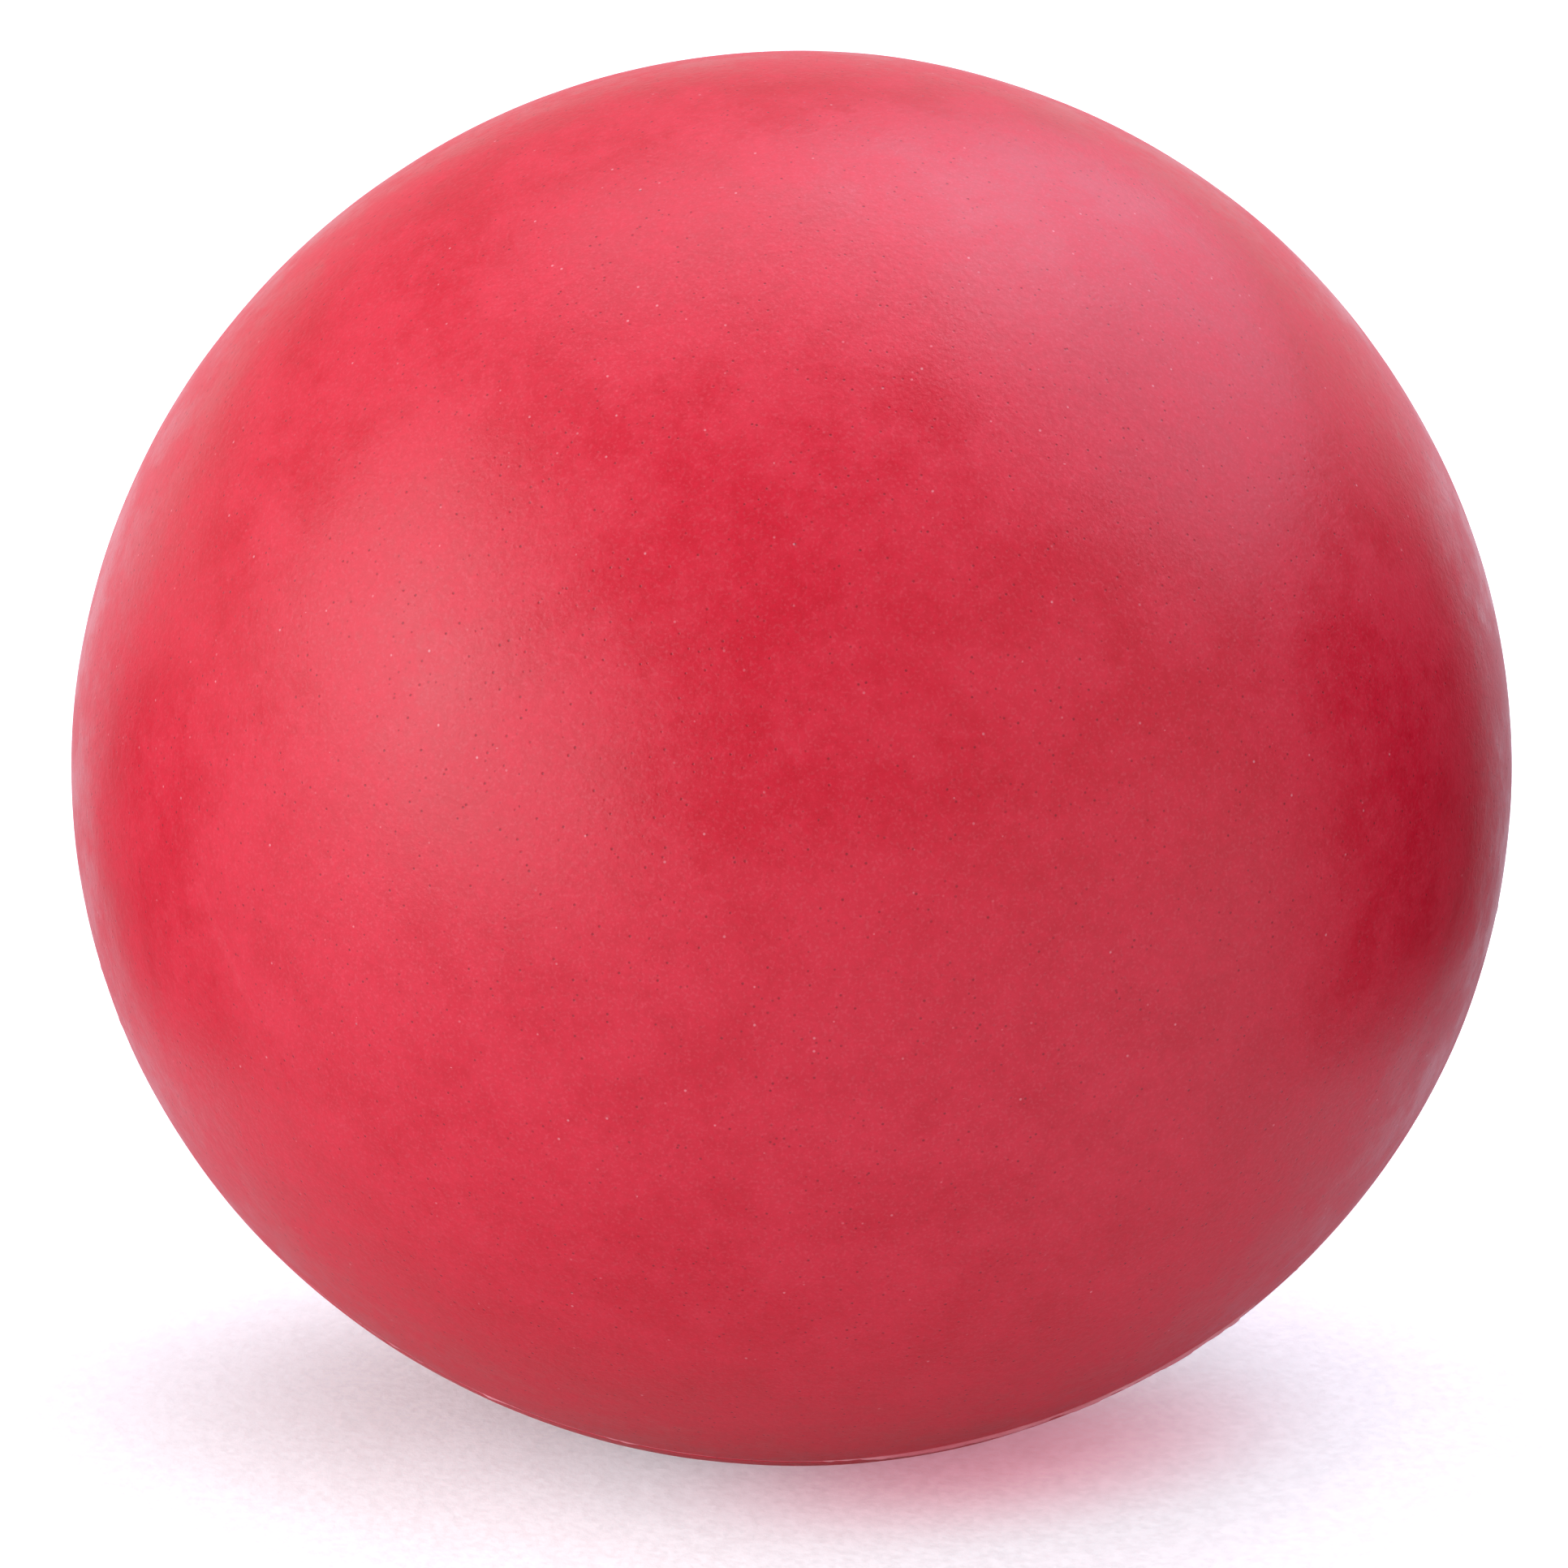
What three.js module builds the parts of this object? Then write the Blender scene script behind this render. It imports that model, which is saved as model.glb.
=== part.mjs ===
// A plain hollow rubber ball: two moulded half shells cemented together at a stepped seam.
// A tapered plug inside the rear half let a needle in to inflate the ball, and a dab of rubber closes the needle's hole.
// Millimetres, +Z up, origin at the ball's centre. The front pole looks towards -Y and is raised.
import * as THREE from "three";

// Ball
const ballWidth = 63.5; // across the seam
const ballHeight = 62.2; // as it sits, a little squat
const wall = 5.0;
const axisLift = 32; // degrees by which the moulding axis is raised at the front

// Stepped seam: the front rim's tongue nests inside the rear rim's lip
const lapDepth = 2.4; // how far the tongue reaches into the rear half
const lapDraft = 8; // degrees of draft on the tongue
const cementFilm = 0.3;
const bondGap = 0.3; // clearance on each side of a cement film
const beadRadius = 1.2; // cement squeezed out along the inside of the seam

// Inflation plug at the rear pole
const plugTipRadius = 3.6;
const plugLength = 5.0;
const plugTaper = 10; // degrees, wider inside so that the pressure seats it
const plugProud = 0.8; // how far the plug stands out of its socket
const plugCover = 3.0; // rubber left between the socket and the outside
const bossWall = 2.4; // rubber round the socket's mouth
const bossFoot = 4.0; // width of the blend from the boss to the inner wall

// Needle hole and its seal
const needleRadius = 0.6;
const sealRadius = 2.4;
const sealDepth = 1.0;

// Facets
const segmentsAround = 60;
const outerSteps = 18;
const innerSteps = 12;
const beadSteps = 8;
const footSteps = 6;
const sealSteps = 3;

// Derived sizes
const outerRadius = ballWidth / 2;
const sag = (ballWidth - ballHeight) / 2; // how far the top and the foot settle
const lift = THREE.MathUtils.degToRad(axisLift);
const innerRadius = outerRadius - wall;
const draft = THREE.MathUtils.degToRad(lapDraft);
const taper = THREE.MathUtils.degToRad(plugTaper);
const rimOffset = cementFilm / 2 + bondGap; // from the middle of the film to a rim
const socketOffset = 2 * bondGap + cementFilm; // from the plug to its socket
const plugTipY = outerRadius - plugCover - socketOffset;
const plugEndY = plugTipY - plugLength;
const bossTopY = plugEndY + plugProud;

// Profiles are drawn as radius and height along the moulding axis: the front pole is at -Y, the rear pole at +Y.
const point = (radius, y) => new THREE.Vector2(radius, y);

// Angle from the seam's plane, and radius from the axis, of a sphere's point at a height.
const latitude = (sphereRadius, y) => Math.asin(y / sphereRadius);
const radiusAt = (sphereRadius, y) => sphereRadius * Math.cos(latitude(sphereRadius, y));

// A sphere's meridian from one height to another, both ends included.
function meridian(sphereRadius, fromY, toY, steps) {
  const start = latitude(sphereRadius, fromY);
  const end = latitude(sphereRadius, toY);
  return new THREE.EllipseCurve(0, 0, sphereRadius, sphereRadius, start, end, end < start).getPoints(steps);
}

// Radius of the step between tongue and lip at a height: half way through the wall, with draft.
const lapRadius = (y) => outerRadius - wall / 2 + (lapDepth / 2 - y) * Math.tan(draft);

// The seam's stepped line from outside to inside, moved by an offset towards the rear half.
function seamLine(offset) {
  const stepOut = offset / Math.cos(draft);
  const innerY = lapDepth + offset;
  return [
    point(radiusAt(outerRadius, offset), offset),
    point(lapRadius(offset) + stepOut, offset),
    point(lapRadius(innerY) + stepOut, innerY),
    point(radiusAt(innerRadius, innerY), innerY),
  ];
}

// The cone that lies a clearance outside the plug: its radius at a height, its edge at the tip and its edge at the boss.
const plugCone = (clearance, y) =>
  plugTipRadius + (plugTipY - y) * Math.tan(taper) + clearance / Math.cos(taper);
const plugTipEdge = (clearance) => point(plugCone(clearance, plugTipY + clearance), plugTipY + clearance);
const plugMouthEdge = (clearance) => point(plugCone(clearance, bossTopY), bossTopY);

// The boss round the socket runs into the inner wall in an S-shaped blend.
function bossSide() {
  const topRadius = plugMouthEdge(socketOffset).x + bossWall;
  return Array.from({ length: footSteps + 1 }, (_, i) => {
    const share = i / footSteps;
    const radius = topRadius + bossFoot * share;
    const wallY = Math.sqrt(innerRadius ** 2 - radius ** 2);
    return point(radius, THREE.MathUtils.lerp(bossTopY, wallY, THREE.MathUtils.smoothstep(share, 0, 1)));
  });
}

// A profile that doesn't touch the axis ends where it starts.
const closed = (points) => [...points, points[0].clone()];

// A bowl whose rim steps up to a tongue on the inside.
function frontHalfShell() {
  const rim = seamLine(-rimOffset);
  return [
    ...meridian(outerRadius, -outerRadius, rim.at(0).y, outerSteps),
    ...rim.slice(1, -1),
    ...meridian(innerRadius, rim.at(-1).y, -innerRadius, innerSteps),
  ];
}

// A bowl whose rim steps up to a lip on the outside, with the plug's socket and the needle's hole at its pole.
function rearHalfShell() {
  const rim = seamLine(rimOffset);
  const foot = bossSide();
  const dimpleEdgeY = Math.sqrt(outerRadius ** 2 - sealRadius ** 2);
  return closed([
    ...meridian(outerRadius, rim.at(0).y, dimpleEdgeY, outerSteps),
    point(needleRadius, outerRadius - sealDepth),
    point(needleRadius, plugTipY + socketOffset),
    plugTipEdge(socketOffset),
    plugMouthEdge(socketOffset),
    ...foot.slice(0, -1),
    ...meridian(innerRadius, foot.at(-1).y, rim.at(-1).y, innerSteps),
    ...rim.slice(1, -1).reverse(),
  ]);
}

// The film follows the stepped line, flush with the outside, and ends in a half-round bead inside.
function seamCement() {
  const frontFace = seamLine(-cementFilm / 2).slice(0, -1);
  const rearFace = seamLine(cementFilm / 2).slice(0, -1);
  const beadBase = radiusAt(innerRadius, lapDepth + beadRadius) - bondGap;
  const bead = new THREE.EllipseCurve(beadBase, lapDepth, beadRadius, beadRadius, Math.PI / 2, 1.5 * Math.PI);
  return closed([
    ...rearFace,
    point(beadBase, lapDepth + cementFilm / 2),
    ...bead.getPoints(beadSteps),
    point(beadBase, lapDepth - cementFilm / 2),
    ...frontFace.reverse(),
  ]);
}

function sealingPlug() {
  return [
    point(0, plugEndY),
    point(plugCone(0, plugEndY), plugEndY),
    plugTipEdge(0),
    point(0, plugTipY),
  ];
}

// A thin cup between the plug and its socket, level with the boss.
function plugCement() {
  const inside = bondGap;
  const outside = bondGap + cementFilm;
  return [
    point(0, plugTipY + inside),
    plugTipEdge(inside),
    plugMouthEdge(inside),
    plugMouthEdge(outside),
    plugTipEdge(outside),
    point(0, plugTipY + outside),
  ];
}

// A lens in the dimple over the needle's hole, flush with the outside.
function needleHoleSeal() {
  const edgeRadius = sealRadius - bondGap;
  const edgeY = Math.sqrt(outerRadius ** 2 - edgeRadius ** 2);
  return [
    point(0, outerRadius - sealDepth + bondGap),
    ...meridian(outerRadius, edgeY, outerRadius, sealSteps),
  ];
}

// The soft ball sits a little lower than it is wide. Points in line with its middle sink alike, so walls keep their
// thickness. The vertical is given in the moulding's own frame.
const vertical = new THREE.Vector3(0, -Math.sin(lift), Math.cos(lift));

function settle(geometry) {
  const places = geometry.attributes.position;
  const place = new THREE.Vector3();
  for (let i = 0; i < places.count; i++) {
    place.fromBufferAttribute(places, i);
    place.addScaledVector(vertical, (-sag * place.dot(vertical)) / place.length());
    places.setXYZ(i, place.x, place.y, place.z);
  }
  geometry.computeVertexNormals();
}

function revolved(name, profile, look) {
  const geometry = new THREE.LatheGeometry(profile, segmentsAround);
  settle(geometry);
  const mesh = new THREE.Mesh(geometry, new THREE.MeshStandardMaterial(look));
  mesh.name = name;
  return mesh;
}

const redRubber = { color: 0xc93246, roughness: 0.45, metalness: 0 };
const paleCement = { color: 0xd9707c, roughness: 0.6, metalness: 0 };
const gumRubber = { color: 0xb98a5a, roughness: 0.7, metalness: 0 };

// The pieces share the moulding axis, which the group raises at the front.
const ball = new THREE.Group();
ball.rotation.x = -lift;
ball.add(
  revolved("front_half_shell", frontHalfShell(), redRubber),
  revolved("rear_half_shell", rearHalfShell(), redRubber),
  revolved("seam_cement", seamCement(), paleCement),
  revolved("sealing_plug", sealingPlug(), gumRubber),
  revolved("plug_cement", plugCement(), paleCement),
  revolved("needle_hole_seal", needleHoleSeal(), redRubber),
);

export default ball;
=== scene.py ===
# A plain red rubber ball, satin from the mould and lightly dusted, on a pale studio floor
import math

import bmesh
import bpy
from mathutils import Matrix, Vector


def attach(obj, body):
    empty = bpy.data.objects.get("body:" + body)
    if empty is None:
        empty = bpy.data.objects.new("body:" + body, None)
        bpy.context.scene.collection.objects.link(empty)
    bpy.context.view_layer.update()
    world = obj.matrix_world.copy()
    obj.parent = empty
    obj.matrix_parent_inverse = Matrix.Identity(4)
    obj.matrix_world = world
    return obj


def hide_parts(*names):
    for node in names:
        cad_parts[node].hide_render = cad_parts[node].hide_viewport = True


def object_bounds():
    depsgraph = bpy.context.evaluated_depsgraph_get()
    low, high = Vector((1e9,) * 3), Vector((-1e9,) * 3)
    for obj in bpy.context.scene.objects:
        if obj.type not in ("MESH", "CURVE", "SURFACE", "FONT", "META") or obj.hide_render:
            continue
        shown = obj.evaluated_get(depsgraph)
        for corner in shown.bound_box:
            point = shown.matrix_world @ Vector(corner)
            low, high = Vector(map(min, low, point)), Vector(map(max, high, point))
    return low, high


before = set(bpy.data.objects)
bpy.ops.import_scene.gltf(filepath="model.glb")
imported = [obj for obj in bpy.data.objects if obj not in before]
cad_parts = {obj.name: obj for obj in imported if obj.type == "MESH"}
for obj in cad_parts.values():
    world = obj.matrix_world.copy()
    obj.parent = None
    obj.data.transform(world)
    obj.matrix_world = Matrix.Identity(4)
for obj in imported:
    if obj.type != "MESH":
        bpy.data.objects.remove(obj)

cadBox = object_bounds()
mm = 0.001

# The ball as it sits, from the solids
ballLow, ballHigh = cadBox
ballRadius = (ballHigh.x - ballLow.x) / 2
ballSag = ballRadius - (ballHigh.z - ballLow.z) / 2  # how far top and bottom settle

moulding = {
    "axisLift": 32,  # degrees by which the front pole is raised, as in the solids
    "wall": 5.0 * mm,
    "aroundSteps": 384,
    "outerSteps": 130,
    "innerSteps": 40,
    "mergeWithin": 0.002 * mm,
    "crispAngle": 40,  # degrees from which an edge stays sharp
}


# Small helpers for node trees
def addNode(tree, kind, **settings):
    node = tree.nodes.new(kind)
    for name, value in settings.items():
        setattr(node, name, value)
    return node


def plug(tree, socket, value):
    # A socket takes a plain value or another node's output
    if isinstance(value, bpy.types.NodeSocket):
        tree.links.new(value, socket)
    else:
        socket.default_value = value


def maths(tree, operation, *values):
    node = addNode(tree, "ShaderNodeMath", operation=operation)
    for socket, value in zip(node.inputs, values):
        plug(tree, socket, value)
    return node.outputs[0]


def vectorMaths(tree, operation, *values):
    node = addNode(tree, "ShaderNodeVectorMath", operation=operation)
    for socket, value in zip(node.inputs, values):
        plug(tree, socket, value)
    return node.outputs["Value" if operation in ("LENGTH", "DOT_PRODUCT") else "Vector"]


def scaled(tree, vector, factor):
    node = addNode(tree, "ShaderNodeVectorMath", operation="SCALE")
    plug(tree, node.inputs["Vector"], vector)
    plug(tree, node.inputs["Scale"], factor)
    return node.outputs["Vector"]


def noise(tree, vector, scale, detail, seed, roughness=0.5):
    node = addNode(tree, "ShaderNodeTexNoise", noise_dimensions="4D")
    plug(tree, node.inputs["Vector"], vector)
    plug(tree, node.inputs["W"], seed)
    plug(tree, node.inputs["Scale"], scale)
    plug(tree, node.inputs["Detail"], detail)
    plug(tree, node.inputs["Roughness"], roughness)
    return node.outputs[0]


def ramp(tree, value, fromLow, fromHigh, toLow=0.0, toHigh=1.0):
    node = addNode(tree, "ShaderNodeMapRange", interpolation_type="SMOOTHSTEP")
    plug(tree, node.inputs["Value"], value)
    plug(tree, node.inputs["From Min"], fromLow)
    plug(tree, node.inputs["From Max"], fromHigh)
    plug(tree, node.inputs["To Min"], toLow)
    plug(tree, node.inputs["To Max"], toHigh)
    return node.outputs["Result"]


def blendColour(tree, share, first, second):
    node = addNode(tree, "ShaderNodeMix", data_type="RGBA")
    plug(tree, node.inputs["Factor"], share)
    plug(tree, node.inputs[6], first)  # the colour sockets go by number, because their names are used twice
    plug(tree, node.inputs[7], second)
    return node.outputs[2]


def newTree(name, kind, inputs, outputs):
    tree = bpy.data.node_groups.new(name, kind)
    for label, socketKind, value in inputs:
        socket = tree.interface.new_socket(label, in_out="INPUT", socket_type="NodeSocket" + socketKind)
        if value is not None:
            socket.default_value = value
    for label, socketKind in outputs:
        tree.interface.new_socket(label, in_out="OUTPUT", socket_type="NodeSocket" + socketKind)
    return tree, addNode(tree, "NodeGroupInput"), addNode(tree, "NodeGroupOutput")


# Shader groups that the rubber finishes share, first the cloudy patches of wax that came to the surface
bloomCloud = {
    "patchDetail": 1.5,
    "patchLimits": (0.3, 0.7),
    "hazeFineness": 2.3,  # against the patches
    "hazeDetail": 6.0,
    "hazeRoughness": 0.72,
    "hazeLimits": (0.35, 0.65),
}


def cloudedBloomGroup():
    tree, given, result = newTree(
        "cloudedBloom",
        "ShaderNodeTree",
        [("Vector", "Vector", None), ("Patch Size", "Float", 8 * mm), ("Seed", "Float", 0.0)],
        [("Patches", "Float"), ("Haze", "Float")],
    )
    spot, seed = given.outputs["Vector"], given.outputs["Seed"]
    scale = maths(tree, "DIVIDE", 1.0, given.outputs["Patch Size"])
    patches = noise(tree, spot, scale, bloomCloud["patchDetail"], seed)
    fineScale = maths(tree, "MULTIPLY", scale, bloomCloud["hazeFineness"])
    haze = noise(tree, spot, fineScale, bloomCloud["hazeDetail"], seed, bloomCloud["hazeRoughness"])
    plug(tree, result.inputs["Patches"], ramp(tree, patches, *bloomCloud["patchLimits"]))
    plug(tree, result.inputs["Haze"], ramp(tree, haze, *bloomCloud["hazeLimits"]))
    return tree


# Each kind of speck reads its own part of the pattern, and lint is stretched to short threads
speckKinds = {
    "Dust": {"shift": (0.0, 0.0, 0.0), "stretch": (1, 1, 1)},
    "Pits": {"shift": (3.7, 3.7, 0.0), "stretch": (1, 1, 1)},
    "Lint": {"shift": (7.1, 7.1, 0.0), "stretch": (0.4, 2.5, 2.5)},
}
speckCore = 0.4  # share of a speck's size that has its full strength
faintestSpeck = 0.15


def dustAndPitsGroup():
    # Pinholes, pale specks of dust and a few short threads of lint, each of its own strength; the finish
    # paints the pinholes dark as the shade inside them
    tree, given, result = newTree(
        "dustAndPits",
        "ShaderNodeTree",
        [
            ("Vector", "Vector", None),
            ("Spacing", "Float", 1 * mm),
            ("Speck Size", "Float", 0.1),
            ("Dust Share", "Float", 0.1),
            ("Pits Share", "Float", 0.1),
            ("Lint Share", "Float", 0.01),
        ],
        [("Dust", "Float"), ("Pits", "Float"), ("Lint", "Float")],
    )
    scale = maths(tree, "DIVIDE", 1.0, given.outputs["Spacing"])
    core = maths(tree, "MULTIPLY", given.outputs["Speck Size"], speckCore)
    for label, kind in speckKinds.items():
        moved = vectorMaths(tree, "ADD", given.outputs["Vector"], kind["shift"])
        cells = addNode(tree, "ShaderNodeTexVoronoi", feature="F1")
        plug(tree, cells.inputs["Vector"], vectorMaths(tree, "MULTIPLY", moved, kind["stretch"]))
        plug(tree, cells.inputs["Scale"], scale)
        near = ramp(tree, cells.outputs["Distance"], given.outputs["Speck Size"], core)
        chance = addNode(tree, "ShaderNodeSeparateColor")
        plug(tree, chance.inputs[0], cells.outputs["Color"])
        kept = maths(tree, "LESS_THAN", chance.outputs[0], given.outputs[label + " Share"])
        strength = ramp(tree, chance.outputs[1], 0.0, 1.0, faintestSpeck, 1.0)
        speck = maths(tree, "MULTIPLY", near, maths(tree, "MULTIPLY", kept, strength))
        plug(tree, result.inputs[label], speck)
    return tree


# The fine skin that a blasted mould leaves on rubber, and the chalk caught in it
blastedSkin = {
    "detail": 3.0,
    "roughness": 0.6,
    "seed": 1.0,
    "heightLimits": (0.3, 0.7),
    "chalkFineness": 2.2,  # against the grain
    "chalkDetail": 1.0,
    "chalkSeed": 6.0,
    "chalkLimits": (0.48, 0.76),
}


def skinGrainGroup():
    tree, given, result = newTree(
        "skinGrain",
        "ShaderNodeTree",
        [("Vector", "Vector", None), ("Grain Size", "Float", 0.3 * mm)],
        [("Height", "Float"), ("Chalk", "Float")],
    )
    skin = blastedSkin
    spot = given.outputs["Vector"]
    scale = maths(tree, "DIVIDE", 1.0, given.outputs["Grain Size"])
    fine = noise(tree, spot, scale, skin["detail"], skin["seed"], skin["roughness"])
    plug(tree, result.inputs["Height"], ramp(tree, fine, *skin["heightLimits"]))
    chalkScale = maths(tree, "MULTIPLY", scale, skin["chalkFineness"])
    chalk = noise(tree, spot, chalkScale, skin["chalkDetail"], skin["chalkSeed"])
    plug(tree, result.inputs["Chalk"], ramp(tree, chalk, *skin["chalkLimits"]))
    return tree


cloudedBloom = cloudedBloomGroup()
dustAndPits = dustAndPitsGroup()
skinGrain = skinGrainGroup()


def useGroup(tree, group, values):
    node = addNode(tree, "ShaderNodeGroup", node_tree=group)
    for label, value in values.items():
        plug(tree, node.inputs[label], value)
    return node.outputs


def newFinish(name):
    finish = bpy.data.materials.new(name)
    finish.use_nodes = True
    return finish, finish.node_tree, finish.node_tree.nodes["Principled BSDF"]


def ownSpot(tree):
    # The piece's own coordinates
    return addNode(tree, "ShaderNodeTexCoord").outputs["Object"]


def bumpFrom(tree, shader, height, look):
    bump = addNode(tree, "ShaderNodeBump")
    bump.inputs["Strength"].default_value = look["bumpStrength"]
    bump.inputs["Distance"].default_value = look["bumpDistance"]
    plug(tree, bump.inputs["Height"], height)
    plug(tree, shader.inputs["Normal"], bump.outputs["Normal"])


redRubberLook = {
    "deep": (0.55, 0.003, 0.020, 1),
    "bright": (0.665, 0.005, 0.031, 1),
    "cloudSize": 9 * mm,
    "cloudSeed": 4.0,
    "bloom": (0.72, 0.20, 0.24, 1),
    "bloomShare": 0.05,
    "chalkShare": 0.11,
    "grainSize": 0.3 * mm,
    "grainShare": 0.45,  # of the mottled colour, against the cloud
    "speckSpacing": 0.4 * mm,
    "speckSize": 0.19,  # against their spacing
    "dustAmount": 0.06,
    "pitAmount": 0.95,
    "lintAmount": 0.003,
    "dust": (0.86, 0.50, 0.53, 1),
    "dustShare": 0.4,
    # Painted shade inside the pinholes, a dark red
    "pitShade": (0.26, 0.003, 0.012, 1),
    "pitShadeShare": 0.85,
    "smooth": 0.33,
    "rough": 0.45,
    "refraction": 1.455,
    "swellSize": 1.6 * mm,  # low swells that break up the edges of the highlights
    "swellDetail": 1.0,
    "swellSeed": 8.0,
    "swellShare": 2.2,  # against the height of the grain, as are the two depths
    "pitDepth": 2.0,
    "creaseDepth": 11.0,
    "bumpStrength": 0.35,
    "bumpDistance": 0.02 * mm,
}

# A faint step where the rubber folded as it flowed, on a circle round an axis, for a ball of radius 1
flowCrease = {
    "axis": (0.722, -0.403, 0.563),
    "height": -0.2825,  # along the axis
    "middle": (-0.708, -0.70, -0.10),
    "halfWidth": 0.009,
    "halfLength": 0.26,
}


def creaseMask(tree, spot):
    outward = vectorMaths(tree, "NORMALIZE", spot)
    along = vectorMaths(tree, "DOT_PRODUCT", outward, flowCrease["axis"])
    offLine = maths(tree, "SUBTRACT", along, flowCrease["height"])
    step = ramp(tree, offLine, -flowCrease["halfWidth"], flowCrease["halfWidth"])
    offMiddle = vectorMaths(tree, "LENGTH", vectorMaths(tree, "SUBTRACT", outward, flowCrease["middle"]))
    return maths(tree, "MULTIPLY", step, ramp(tree, offMiddle, flowCrease["halfLength"], 0.0))


def redRubber():
    look = redRubberLook
    finish, tree, shader = newFinish("red_rubber")
    spot = ownSpot(tree)
    cloud = useGroup(tree, cloudedBloom, {
        "Vector": spot, "Patch Size": look["cloudSize"], "Seed": look["cloudSeed"],
    })
    specks = useGroup(tree, dustAndPits, {
        "Vector": spot,
        "Spacing": look["speckSpacing"],
        "Speck Size": look["speckSize"],
        "Dust Share": look["dustAmount"],
        "Pits Share": look["pitAmount"],
        "Lint Share": look["lintAmount"],
    })
    grain = useGroup(tree, skinGrain, {"Vector": spot, "Grain Size": look["grainSize"]})
    # Grain counts as a part of the cloud in the colour
    mottle = addNode(tree, "ShaderNodeMix")
    plug(tree, mottle.inputs["Factor"], look["grainShare"])
    plug(tree, mottle.inputs["A"], cloud["Haze"])
    plug(tree, mottle.inputs["B"], grain["Height"])
    body = blendColour(tree, mottle.outputs["Result"], look["deep"], look["bright"])
    hazeShare = maths(tree, "MULTIPLY", cloud["Haze"], look["bloomShare"])
    chalkShare = maths(tree, "MULTIPLY", grain["Chalk"], look["chalkShare"])
    bloomed = blendColour(tree, maths(tree, "ADD", hazeShare, chalkShare), body, look["bloom"])
    # Painted shade: the pinholes are coloured dark, as the shade inside them would make them, besides being
    # dented in the bump below
    pitShadeShare = maths(tree, "MULTIPLY", specks["Pits"], look["pitShadeShare"])
    pitShaded = blendColour(tree, pitShadeShare, bloomed, look["pitShade"])
    pale = maths(tree, "MAXIMUM", specks["Dust"], specks["Lint"])
    dusted = blendColour(tree, maths(tree, "MULTIPLY", pale, look["dustShare"]), pitShaded, look["dust"])
    plug(tree, shader.inputs["Base Color"], dusted)
    plug(tree, shader.inputs["Roughness"], ramp(tree, cloud["Haze"], 0.0, 1.0, look["smooth"], look["rough"]))
    shader.inputs["IOR"].default_value = look["refraction"]
    swell = noise(tree, spot, 1 / look["swellSize"], look["swellDetail"], look["swellSeed"])
    height = maths(tree, "ADD", grain["Height"], maths(tree, "MULTIPLY", swell, look["swellShare"]))
    pits = maths(tree, "MULTIPLY", specks["Pits"], look["pitDepth"])
    crease = maths(tree, "MULTIPLY", creaseMask(tree, spot), look["creaseDepth"])
    dented = maths(tree, "SUBTRACT", height, maths(tree, "ADD", pits, crease))
    bumpFrom(tree, shader, dented, look)
    return finish


# The cement, gum and sealing rubbers have the same cloudiness in other colours
plainSkin = {
    "cloudSize": 3 * mm,
    "grainSize": 0.2 * mm,
    "bumpStrength": 0.2,
    "bumpDistance": 0.03 * mm,
}
plainLooks = {
    "rubber_cement": {
        "pale": (0.86, 0.37, 0.41, 1), "dark": (0.70, 0.16, 0.20, 1),
        "smooth": 0.5, "rough": 0.7, "seed": 11.0,
    },
    "gum_rubber": {
        "pale": (0.54, 0.29, 0.12, 1), "dark": (0.42, 0.21, 0.08, 1),
        "smooth": 0.6, "rough": 0.75, "seed": 21.0,
    },
    "sealing_rubber": {
        "pale": (0.58, 0.03, 0.05, 1), "dark": (0.46, 0.012, 0.03, 1),
        "smooth": 0.25, "rough": 0.4, "seed": 31.0,
    },
}


def plainRubber(name):
    look = plainLooks[name]
    finish, tree, shader = newFinish(name)
    spot = ownSpot(tree)
    cloud = useGroup(tree, cloudedBloom, {
        "Vector": spot, "Patch Size": plainSkin["cloudSize"], "Seed": look["seed"],
    })
    plug(tree, shader.inputs["Base Color"], blendColour(tree, cloud["Patches"], look["dark"], look["pale"]))
    plug(tree, shader.inputs["Roughness"], ramp(tree, cloud["Haze"], 0.0, 1.0, look["smooth"], look["rough"]))
    grain = useGroup(tree, skinGrain, {"Vector": spot, "Grain Size": plainSkin["grainSize"]})
    bumpFrom(tree, shader, grain["Height"], plainSkin)
    return finish


redRubberFinish = redRubber()
cementFinish = plainRubber("rubber_cement")
gumFinish = plainRubber("gum_rubber")
sealFinish = plainRubber("sealing_rubber")
print("finishes ready")


# The moulded form: settling, a slightly three-lobed section and shallow mould waves
formSize = {
    "lobe": 0.12 * mm,
    "lobeCount": 3.0,
    "lobeTurn": 40,  # degrees
    "lobeFade": 3.0,  # power by which the lobes fade away from the outline
    "wave": 0.06 * mm,
    "waveSize": 12 * mm,
    "ripple": 0.03 * mm,
    "rippleSize": 5.5 * mm,
    "waveDetail": 1.0,
    "seed": 7.0,
}


def dressResult(tree, geometry, given, result):
    # Each tree ends in real faces with their material
    real = addNode(tree, "GeometryNodeRealizeInstances")
    plug(tree, real.inputs[0], geometry)
    dressed = addNode(tree, "GeometryNodeSetMaterial")
    plug(tree, dressed.inputs["Geometry"], real.outputs[0])
    plug(tree, dressed.inputs["Material"], given.outputs["Finish"])
    plug(tree, result.inputs[0], dressed.outputs[0])


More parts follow.
